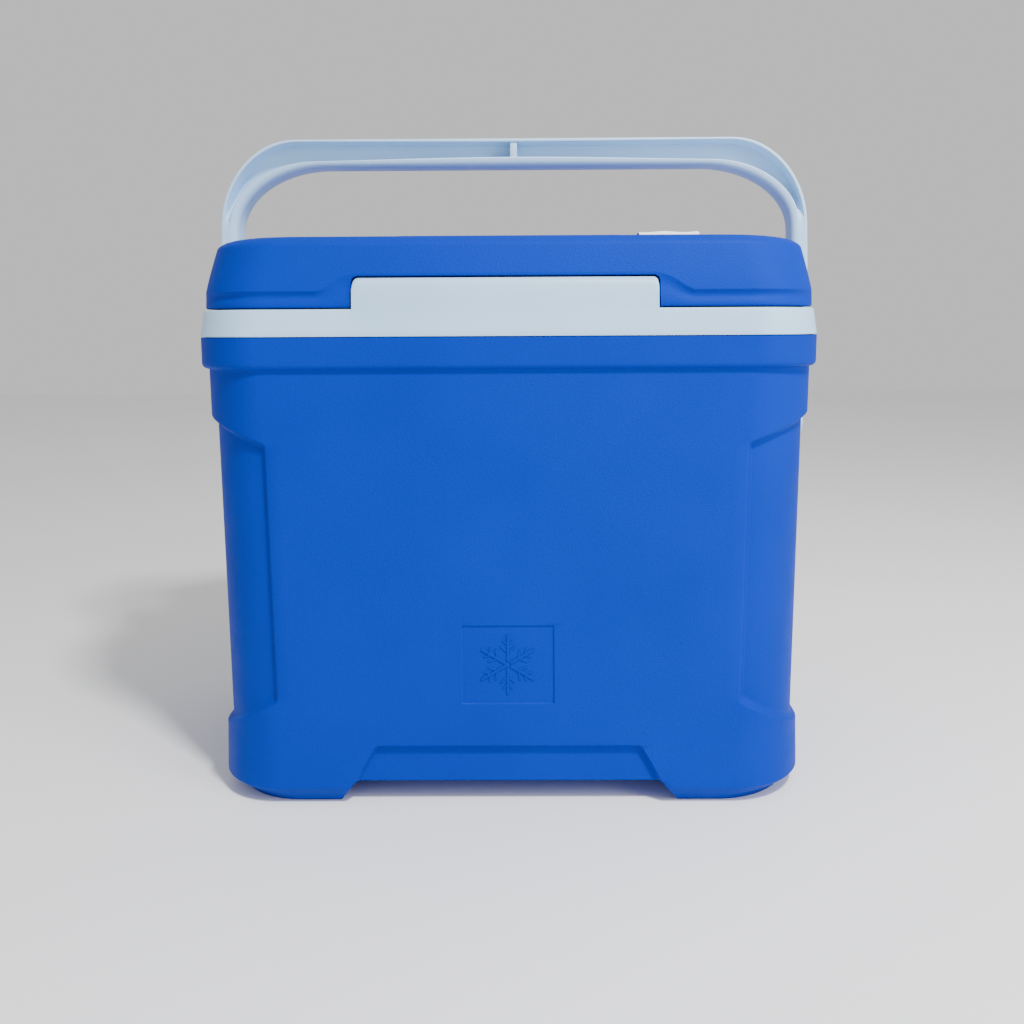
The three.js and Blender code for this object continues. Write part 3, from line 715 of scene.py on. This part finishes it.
# %% [markdown]
# ## Under the lid, and the foam
# The white underside of the lid is a tray with a raised plug that drops into the cabin and slows the warm
# air. It steps back behind the two tab notches. Between the skins the real cooler is filled with foam,
# which is poured in and sets, so here it is a plain block that follows the walls at a small distance.

# %% The lid's underside
TRAY_EDGE, TRAY_BEHIND_NOTCH = 9.0, 19.5
# Rows of (inset, height): the plug's rounded foot and its side, then the flat and its upturned edge.
TRAY_ROWS = [(41.5, RIM_TOP - 14), (39.2, RIM_TOP - 13.3), (37.6, RIM_TOP - 10), (35.2, RIM_TOP),
             (34.5, LID_BOTTOM + 2), (TRAY_EDGE, LID_BOTTOM + 2), (TRAY_EDGE, LID_BOTTOM + 4)]


def inset_point(column, sx, sy, inset, z):
    """A place on the rounded outline, drawn in by the same amount all round."""
    half_x, half_y = HALF_X - inset, HALF_Y - inset
    radius = max(8.0, CORNER - inset * 0.75)
    lines_x = [0, NOTCH_HALF + 9, NOTCH_HALF + 9.5, half_x - radius]
    x, y, _, _ = on_outline(column, half_x, half_y, radius, lines_x, [0, half_y - radius])
    return sx * x, sy * y, z


def tray_point(row, column, sx, sy):
    inset, z = row
    x, y, z = inset_point(column, sx, sy, inset, z)
    if inset == TRAY_EDGE and column[0] == "x" and column[1] < 2:
        behind = TRAY_BEHIND_NOTCH if column[1] == 0 or column[2] == 0 else TRAY_EDGE
        y = sy * (HALF_Y - behind)
    return x, y, z


plain_loop = full_loop(quarter([6, 1, 6], list(range(0, 91, 6)), [8]))
tray_points, tray_faces = wrap(plain_loop, TRAY_ROWS, tray_point, caps=["first"])
lid_tray = mesh_piece("white_lid_underside", tray_points, tray_faces, "lid", "white_plastic", white_satin)
finish_edges(lid_tray, thickness=2.0, bevel=0.8)
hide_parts("lid_liner")

# %% The foam
def block_point(row, column, sx, sy):
    inset, z = row
    return inset_point(column, sx, sy, inset, z)


def foam_block(name, rows, body, cad_node):
    """A closed block from rows of (inset, height), with a flat face at each end."""
    points, faces = wrap(plain_loop, rows, block_point, caps=["first", "last"])
    block = mesh_piece(name, points, faces, body, "foam", foam_cells)
    finish_edges(block)
    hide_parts(cad_node)


TUB_FOAM_ROWS = [(24, 24), (22, 60), (16.5, 240), (16, 285), (10.5, 300), (10, SHELL_TOP - 4),
                 (26.5, SHELL_TOP - 4), (30, 260), (39, 60), (42, CABIN_FLOOR - 4)]
LID_FOAM_ROWS = [(24, LID_BOTTOM + 5), (22, LID_BOTTOM + 11), (24, SHOULDER_Z - 5), (36, SHOULDER_Z)]
foam_block("tub_foam", TUB_FOAM_ROWS, "tub", "body_foam")
foam_block("lid_foam_fill", LID_FOAM_ROWS, "lid", "lid_foam")

# %% [markdown]
# ## The label
# A paper label sits on the flat of the lid beside the raised pad. It has let go in the middle and bulges
# up, so it is a sheet bent over one arch, a little uneven, and given the thickness of paper.

# %% The lifted label
LABEL_HALF_X, LABEL_HALF_Y, LABEL_LIFT = 22.0, 15.0, 3.0
LABEL_X = PAD_HALF_X + 2 + LABEL_HALF_X
LABEL_Y = LID_INSET + FLAT_FRONT + LABEL_HALF_Y - HALF_Y


def label_sheet(across, along):
    """The bent sheet as a grid of quads."""
    points, faces = [], []
    for j in range(along + 1):
        s = j / along
        y = mix(-LABEL_HALF_Y, LABEL_HALF_Y, s)
        arch = math.sin(math.pi * s ** 0.8)
        for i in range(across + 1):
            x = mix(-LABEL_HALF_X, LABEL_HALF_X, i / across)
            wave = 1 + 0.16 * math.cos(x * 0.22 + 0.6)
            points.append((LABEL_X + x, LABEL_Y + y, LID_TOP + 0.4 + LABEL_LIFT * arch * wave))
    for j in range(along):
        for i in range(across):
            a = j * (across + 1) + i
            faces.append((a, a + 1, a + across + 2, a + across + 1))
    return points, faces


lid_label = mesh_piece("blank_label", *label_sheet(16, 14), "lid", "paper", label_paper)
finish_edges(lid_label, thickness=0.35)
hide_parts("lid_label")

# %% [markdown]
# ## What comes in pairs or in a ring
# Screws, washers, bosses, pins and plugs come in pairs, and the emblem on the badge is six equal arms.
# A small node tree sets copies of one turned or built shape in place. It takes the spacing as named
# inputs, so a pair can be moved by changing a number. The copies are made real before they are kept.

# %% The placing trees
def placing_tree(name, inputs):
    """A geometry tree with named inputs that ends in real geometry with its material set."""
    tree = bpy.data.node_groups.new(name, "GeometryNodeTree")
    face = tree.interface
    face.new_socket("Geometry", in_out="INPUT", socket_type="NodeSocketGeometry")
    for label, kind in inputs:
        face.new_socket(label, in_out="INPUT", socket_type=kind)
    face.new_socket("Material", in_out="INPUT", socket_type="NodeSocketMaterial")
    face.new_socket("Geometry", in_out="OUTPUT", socket_type="NodeSocketGeometry")
    return tree, node(tree, "NodeGroupInput").outputs


def end_tree(tree, given, copies, depth, height, lean):
    """Move the copies to their place, make them real and give them their material."""
    shift, turn = vector(tree, y=depth, z=height), vector(tree, x=lean)
    inputs = {"Geometry": copies, "Translation": shift, "Rotation": turn}
    moved = node(tree, "GeometryNodeTransform", inputs).outputs[0]
    real = node(tree, "GeometryNodeRealizeInstances", {"Geometry": moved}).outputs[0]
    dressed = node(tree, "GeometryNodeSetMaterial", {"Geometry": real, "Material": given["Material"]})
    node(tree, "NodeGroupOutput", {0: dressed.outputs[0]})


def reckon(tree, operation, *values):
    return node(tree, "ShaderNodeMath", dict(enumerate(values)), operation=operation).outputs[0]


def vector(tree, **parts):
    """A vector from named parts, with 0 for the rest."""
    inputs = {name.upper(): value for name, value in parts.items()}
    return node(tree, "ShaderNodeCombineXYZ", inputs).outputs[0]


def copies_on(tree, given, points, turn):
    """A copy of the shape on each point, turned about Y."""
    inputs = {"Points": points, "Instance": given["Geometry"], "Rotation": vector(tree, y=turn)}
    return node(tree, "GeometryNodeInstanceOnPoints", inputs).outputs[0]


# %% The pair and the ring
FLOAT = "NodeSocketFloat"
pair_inputs = [("Spread", FLOAT), ("Depth", FLOAT), ("Height", FLOAT), ("Turn", FLOAT)]
pair_tree, given = placing_tree("mirrored_pair", pair_inputs)
first = vector(pair_tree, x=reckon(pair_tree, "MULTIPLY", given["Spread"], -1.0))
apart = vector(pair_tree, x=reckon(pair_tree, "MULTIPLY", given["Spread"], 2.0))
ends = {"Count": 2, "Start Location": first, "Offset": apart}
line = node(pair_tree, "GeometryNodeMeshLine", ends).outputs[0]
index = node(pair_tree, "GeometryNodeInputIndex").outputs[0]
side = reckon(pair_tree, "MULTIPLY_ADD", index, 2.0, -1.0)
pair = copies_on(pair_tree, given, line, reckon(pair_tree, "MULTIPLY", side, given["Turn"]))
end_tree(pair_tree, given, pair, given["Depth"], given["Height"], 0.0)

ring_inputs = [("Arms", "NodeSocketInt"), ("Depth", FLOAT), ("Height", FLOAT), ("Lean", FLOAT)]
ring_tree, given = placing_tree("arms_in_a_ring", ring_inputs)
hub = node(ring_tree, "GeometryNodeMeshLine", {"Count": given["Arms"], "Offset": (0, 0, 0)}).outputs[0]
index = node(ring_tree, "GeometryNodeInputIndex").outputs[0]
share = reckon(ring_tree, "DIVIDE", index, given["Arms"])
arms = copies_on(ring_tree, given, hub, reckon(ring_tree, "MULTIPLY", share, 2 * math.pi))
end_tree(ring_tree, given, arms, given["Depth"], given["Height"], given["Lean"])
print("trees:", pair_tree.name, ring_tree.name)

# %% Shapes to place
def turned_shape(profile, segments=40):
    """Turn (radius, height) points about the upright axis."""
    points, faces = [], []
    count = len(profile)
    for s in range(segments):
        a = 2 * math.pi * s / segments
        points += [(r * math.cos(a), r * math.sin(a), z) for r, z in profile]
        after = (s + 1) % segments
        faces += [(s * count + i, after * count + i, after * count + i + 1, s * count + i + 1)
                  for i in range(count - 1)]
    return fill_mesh("shape", points, faces, closed=True)


def place_copies(name, mesh, tree, values, material, body, nodes=(), angle=35):
    """Run a placing tree on one shape and keep the result as a plain piece."""
    piece = bpy.data.objects.new(name, mesh)
    bpy.context.scene.collection.objects.link(piece)
    placing = piece.modifiers.new("placing", "NODES")
    placing.node_group = tree
    for item in tree.interface.items_tree:
        if item.in_out == "INPUT" and item.name in values:
            placing[item.identifier] = values[item.name]
        elif item.in_out == "INPUT" and item.name == "Material":
            placing[item.identifier] = material
    finish_edges(piece, angle=angle)
    piece.data.materials.clear()
    piece.data.materials.append(material)
    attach(piece, body)
    if nodes:
        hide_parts(*nodes)
    return piece

# %% Pivot screws, washers and bosses
HEAD_SEAT = EYE_OUT - 3.7
BOSS_FACE = EYE_IN - 0.6
QUARTER_TURN = math.pi / 2


def pivot_pair(name, profile, spread_mm, material, nodes=()):
    """A turned piece on each end of the pivot line, facing outwards."""
    values = {"Spread": spread_mm * MM, "Height": PIVOT_Z * MM, "Turn": QUARTER_TURN}
    place_copies(name, turned_shape(profile), pair_tree, values, material, "tub", nodes)


# Each profile is a run of (radius, height) points.
screw = [(0, -22), (3, -22), (4, -21), (4, -0.1), (7.6, -0.1), (8, 0.3), (8, 1.3), (7.4, 2.2), (6, 2.9),
         (4, 3.3), (3.1, 3.4), (2.6, 3.1), (2.4, 1.4), (0, 1.1)]
washer = [(4.4, 0), (8.8, 0), (9, 0.2), (9, 1.0), (8.8, 1.2), (4.4, 1.2), (4.4, 0)]
boss = [(7.5, -16), (16.5, -16), (17, -6), (17, -0.8), (16.2, 0), (7.9, 0), (7.5, -0.4), (7.5, -16)]
pivot_pair("pivot_screws", screw, HEAD_SEAT, zinc_steel,
           ("pivot_screw_left", "pivot_screw_right"))
pivot_pair("pivot_washers", washer, HEAD_SEAT - 1.5, zinc_steel,
           ("pivot_washer_left", "pivot_washer_right"))
pivot_pair("pivot_bosses", boss, BOSS_FACE, blue_grain)

# %% Hinge pins and filling plugs
PIN_SUNK = 11.0
PLUG_SPREAD = 62.0
pin = [(0, 0), (2.4, 0), (3, 0.6), (3, 17.1), (2.4, 17.7), (0, 17.7)]
pin_place = {"Spread": (TAB_HALF - PIN_SUNK) * MM, "Depth": HINGE_Y * MM, "Height": HINGE_Z * MM,
             "Turn": QUARTER_TURN}
place_copies("hinge_pins", turned_shape(pin, 24), pair_tree, pin_place, zinc_steel, "tub",
             ("hinge_pin_left", "hinge_pin_right"))
plug = [(0, -1.5), (2.4, -1.5), (2.8, -1.2), (10.8, -1.5), (11.7, -1.1), (12, -0.5), (12, 0),
        (8.7, 0), (8.7, 3.5), (0, 3.5)]
plug_place = {"Spread": PLUG_SPREAD * MM, "Height": (FOOT - 0.3) * MM}
place_copies("foam_fill_plugs", turned_shape(plug), pair_tree, plug_place, black_moulded, "tub",
             ("foam_fill_plug_left", "foam_fill_plug_right"))
place_copies("lid_plug_cap", turned_shape(plug), ring_tree, {"Arms": 1, "Height": (RIM_TOP - 14.3) * MM},
             white_satin, "lid", ("lid_fill_plug",))

# %% The badge's emblem
def bar(x0, z0, x1, z1, width, height):
    """A flat raised bar between two places, standing out along -Y with its top edges drawn in."""
    length = math.dist((x0, z0), (x1, z1))
    ux, uz = (x1 - x0) / length, (z1 - z0) / length
    points = []
    for y, half in ((0.3, width / 2), (-height, width / 2 - 0.3)):
        for x, z, end in ((x0, z0, -1), (x1, z1, 1)):
            for across in (-half, half) if end < 0 else (half, -half):
                points.append((x - uz * across, y, z + ux * across))
    faces = [(0, 1, 2, 3), (4, 7, 6, 5), (0, 4, 5, 1), (1, 5, 6, 2), (2, 6, 7, 3), (3, 7, 4, 0)]
    return points, faces


def add_island(points, faces, more_points, more_faces):
    """Add another shape's points and faces to a list."""
    start = len(points)
    points += more_points
    faces += [tuple(start + v for v in face) for face in more_faces]


def emblem_arm():
    """One arm of a six-armed ice crystal, with two pairs of side branches."""
    points, faces = bar(0, 2.4, 0, 22, 2.2, 0.75)
    spread_angle = math.radians(55)
    for root, reach in ((9.5, 6.5), (15, 4.5)):
        across, up = reach * math.sin(spread_angle), reach * math.cos(spread_angle)
        for hand in (-1, 1):
            add_island(points, faces, *bar(hand * 0.9, root, hand * across, root + up, 1.7, 0.6))
    return fill_mesh("shape", points, faces, closed=True)


BADGE_Z = (BADGE_LOW + BADGE_HIGH) / 2
BADGE_Y = -(HALF_Y - body_inset(BADGE_Z) - BADGE_DEPTH)
place_copies("badge_emblem", emblem_arm(), ring_tree,
             {"Arms": 6, "Depth": (BADGE_Y + 0.05) * MM, "Height": BADGE_Z * MM, "Lean": BODY_DRAFT},
             blue_grain, "tub")

# %% [markdown]
# ## The bail
# The bail is a channel: a thin flange outside, a deep pocket and a thick rounded lip where the fingers
# close. Its section is swept along the bow, and the pocket runs out where the bow turns into the arms.

# %% The bail's path and section
GRIP_THICK = 23.7
OUTER_CORNER = (62.0, 73.0)
INNER_CORNER = (75.0, 52.0)
BAIL_HALF_DEPTH = 13.0
JOG_START, JOG_LENGTH = 12.0, 20.0
POCKET = 17.0
OUTER_LIP, INNER_LIP = 3.0, 8.6


def drift(z):
    """How far an arm steps in towards its pivot."""
    return JOG * (1 - smooth(z, PIVOT_Z + JOG_START, PIVOT_Z + JOG_START + JOG_LENGTH))


def bail_station(kind, t):
    """The outer and the inner point of the bow, on its right half, in X and Z."""
    inner_half = BAIL_HALF_X - ARM_THICK
    inner_top = GRIP_TOP - GRIP_THICK
    if kind == "grip":
        outer = (t * (BAIL_HALF_X - OUTER_CORNER[0]), GRIP_TOP)
        inner = (t * (inner_half - INNER_CORNER[0]), inner_top)
        return outer, inner
    if kind == "corner":
        left_x, left_z = 1 - math.sin(t * math.pi / 2), 1 - math.cos(t * math.pi / 2)
        outer = (BAIL_HALF_X - OUTER_CORNER[0] * left_x, GRIP_TOP - OUTER_CORNER[1] * left_z)
        inner = (inner_half - INNER_CORNER[0] * left_x, inner_top - INNER_CORNER[1] * left_z)
        return outer, inner
    outer_top, inner_low = GRIP_TOP - OUTER_CORNER[1], inner_top - INNER_CORNER[1]
    z_outer = mix(outer_top, PIVOT_Z, t)
    z_inner = mix(inner_low, PIVOT_Z, t)
    return (BAIL_HALF_X - drift(z_outer), z_outer), (inner_half - drift(z_inner), z_inner)


def bail_section(thick, pocket):
    """Points (from outer edge to inner edge, front to back) of the channel, going round once."""
    d = BAIL_HALF_DEPTH
    r = 2.2
    back = 5.0
    lip = min(INNER_LIP, thick * 0.52)
    round_in = lip - 1.6
    flange = min(OUTER_LIP, thick * 0.3)
    depth = POCKET * pocket
    front = -d
    floor = front + max(depth, 0.02)
    inner_edge = thick - lip
    span = inner_edge - flange
    section = [(r, d), (0.6, d - 0.6), (0, d - r), (0, 0), (0, front + 1.2), (0.35, front + 0.35)]
    section += [(1.2, front), (flange - 0.9, front), (flange - 0.25, front + min(0.25, depth)),
                (flange, front + min(0.9, depth)), (flange, mix(front, floor, 0.7))]
    section += [(flange + min(1.0, span * 0.2), floor), (flange + span / 2, floor),
                (inner_edge - min(2.5, span * 0.3), floor), (inner_edge - 0.6, mix(floor, front, 0.12)),
                (inner_edge, mix(floor, front, 0.35)), (inner_edge, front + min(3.5, depth * 0.5)),
                (inner_edge + 0.5, front + min(1.2, depth * 0.2)),
                (inner_edge + 1.6, front + min(0.3, depth * 0.05))]
    for degrees in (0, 18, 36, 54, 72, 90):
        a = math.radians(degrees)
        section.append((thick - round_in + round_in * math.sin(a), front + round_in * (1 - math.cos(a))))
    for degrees in (0, 30, 60, 90):
        a = math.radians(degrees)
        section.append((thick - back + back * math.cos(a), d - back + back * math.sin(a)))
    return section


STATIONS = [("grip", i / 6) for i in range(6)] + [("corner", i / 18) for i in range(18)]
STATIONS += [("arm", i / 22) for i in range(23)]


def pocket_share(kind, t):
    """The pocket is whole along the grip and runs out at the end of each corner."""
    if kind == "corner":
        return 1 - smooth(t, 0.7, 0.97)
    return 1.0 if kind == "grip" else 0.0


def bail_half(sign):
    """Rings of points from the grip's middle down one arm."""
    rings = []
    for kind, t in STATIONS:
        outer, inner = bail_station(kind, t)
        thick = math.dist(outer, inner)
        section = bail_section(thick, pocket_share(kind, t))
        ux, uz = (inner[0] - outer[0]) / thick, (inner[1] - outer[1]) / thick
        rings.append([(sign * (outer[0] + ux * w), y, outer[1] + uz * w) for w, y in section])
    return rings


bail_rings = bail_half(-1)[::-1] + bail_half(1)[1:]
ring_steps = [(step,) for step in range(len(bail_rings[0]))]
bail_points, bail_faces = wrap(ring_steps, bail_rings, lambda ring, step: ring[step], caps=["first", "last"])


def lathe_x(profile, sign, z, segments=48):
    """A solid turned about the pivot line, from a closed run of (radius, x) points."""
    points, faces = [], []
    ring = len(profile)
    for s in range(segments):
        a = 2 * math.pi * s / segments
        points += [(sign * x, r * math.cos(a), z + r * math.sin(a)) for r, x in profile]
        near, far = s * ring, (s + 1) % segments * ring
        for i in range(ring - 1):
            quad = (near + i, near + i + 1, far + i + 1, far + i)
            faces.append(quad if sign > 0 else quad[::-1])
    return points, faces


# The eye's (radius, x) points: the inner face, the rim, the outer face and the screw head's seat.
EYE_BORE, SEAT_BORE, SEAT_DEPTH = 7.3, 9.3, 5.4
eye = [(EYE_BORE, EYE_IN), (EYE_RADIUS - 1.2, EYE_IN), (EYE_RADIUS - 0.35, EYE_IN + 0.35),
       (EYE_RADIUS, EYE_IN + 1.2), (EYE_RADIUS, EYE_OUT - 2.0), (EYE_RADIUS - 0.6, EYE_OUT - 0.6),
       (EYE_RADIUS - 2.0, EYE_OUT), (10.0, EYE_OUT), (9.5, EYE_OUT - 0.5), (SEAT_BORE, EYE_OUT - 1.2),
       (SEAT_BORE, EYE_OUT - SEAT_DEPTH), (EYE_BORE, EYE_OUT - SEAT_DEPTH), (EYE_BORE, EYE_IN)]
for sign in (-1, 1):
    add_island(bail_points, bail_faces, *lathe_x(eye, sign, PIVOT_Z))
bail = mesh_piece("white_bail", bail_points, bail_faces, "handle", "white_plastic", white_satin)
finish_edges(bail, angle=35)
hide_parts("bail_handle")

# %% The rib in the middle of the grip
RIB_HALF = 2.85
rib_low, rib_high = GRIP_TOP - GRIP_THICK + INNER_LIP - 1, GRIP_TOP - OUTER_LIP + 0.4
rib_front, rib_back = -BAIL_HALF_DEPTH + 1.4, POCKET - BAIL_HALF_DEPTH + 0.6
rib_points = [(x, y, z) for z in (rib_low, rib_high) for y in (rib_front, rib_back)
              for x in (-RIB_HALF, RIB_HALF)]
rib_faces = [(0, 2, 3, 1), (4, 5, 7, 6), (0, 1, 5, 4), (2, 6, 7, 3), (0, 4, 6, 2), (1, 3, 7, 5)]
grip_rib = mesh_piece("grip_rib", rib_points, rib_faces, "handle", "white_plastic", white_satin)
finish_edges(grip_rib, bevel=0.6)

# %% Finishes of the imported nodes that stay
NODE_FINISHES = {"outer_shell": blue_grain, "lid_shell": blue_grain,
                 "pivot_insert": brass, "pivot_sleeve": ivory_acetal, "pivot_screw": zinc_steel,
                 "pivot_washer": zinc_steel, "hinge_pin": zinc_steel, "body_foam": foam_cells,
                 "lid_foam": foam_cells, "foam_fill_plug": black_moulded, "lid_label": label_paper}
for name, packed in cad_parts.items():
    chosen = next((m for start, m in NODE_FINISHES.items() if name.startswith(start)), white_satin)
    packed.data.materials.clear()
    packed.data.materials.append(chosen)
print("finishes on", len(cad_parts), "packed nodes")

# %% [markdown]
# ## Camera and light
# The cooler is seen straight on from a little right of its middle, level with the rim. The camera stays
# level and the picture is shifted, so upright edges stay upright. A small lamp high on the right gives
# the shadow under the collar, a weak one lights the right side, and a white room fills the rest.

# %% Camera
DISTANCE = 0.66
camera_data = bpy.data.cameras.new("camera")
camera = bpy.data.objects.new("camera", camera_data)
bpy.context.scene.collection.objects.link(camera)
bpy.context.scene.camera = camera
camera.location = (0.040, -HALF_Y * MM - DISTANCE, 0.3465)
camera.rotation_euler = (math.radians(90), math.radians(0.3), math.radians(0.4))
camera_data.lens = 32.9
camera_data.shift_x = -0.0422
camera_data.shift_y = -0.1826

# %% Floor, room and lamps
floor = bpy.data.objects.new("floor", bpy.data.meshes.new("floor"))
floor.data.from_pydata([(-4, -4, 0), (4, -4, 0), (4, 4, 0), (-4, 4, 0)], [], [(0, 1, 2, 3)])
floor_finish, floor_tree, floor_shader, floor_place = new_finish("white_sweep")
floor_shader.inputs["Roughness"].default_value = 0.9
floor_tone = two_tones(floor_tree, noise(floor_tree, floor_place, 400), "#f4f4f4", "#f7f7f7")
floor_tree.links.new(floor_tone, floor_shader.inputs["Base Color"])
floor.data.materials.append(floor_finish)
bpy.context.scene.collection.objects.link(floor)

world = bpy.data.worlds.new("studio")
bpy.context.scene.world = world
world.use_nodes = True
room = world.node_tree.nodes["Background"]
room.inputs["Color"].default_value = (1, 1, 1, 1)
room.inputs["Strength"].default_value = 0.7


def area(name, place, aim, size, power):
    """A rectangular lamp, aimed at a place."""
    data = bpy.data.lights.new(name, "AREA")
    data.shape = "RECTANGLE"
    data.size, data.size_y = size
    data.energy = power
    light = bpy.data.objects.new(name, data)
    light.location = place
    light.rotation_euler = (Vector(aim) - Vector(place)).to_track_quat("-Z", "Y").to_euler()
    bpy.context.scene.collection.objects.link(light)


area("key", (0.55, -1.0, 1.6), (0.05, -0.1, 0.25), (0.2, 0.2), 43)
area("right_fill", (1.1, -0.9, 0.8), (0.2, 0, 0.3), (0.5, 0.7), 11)
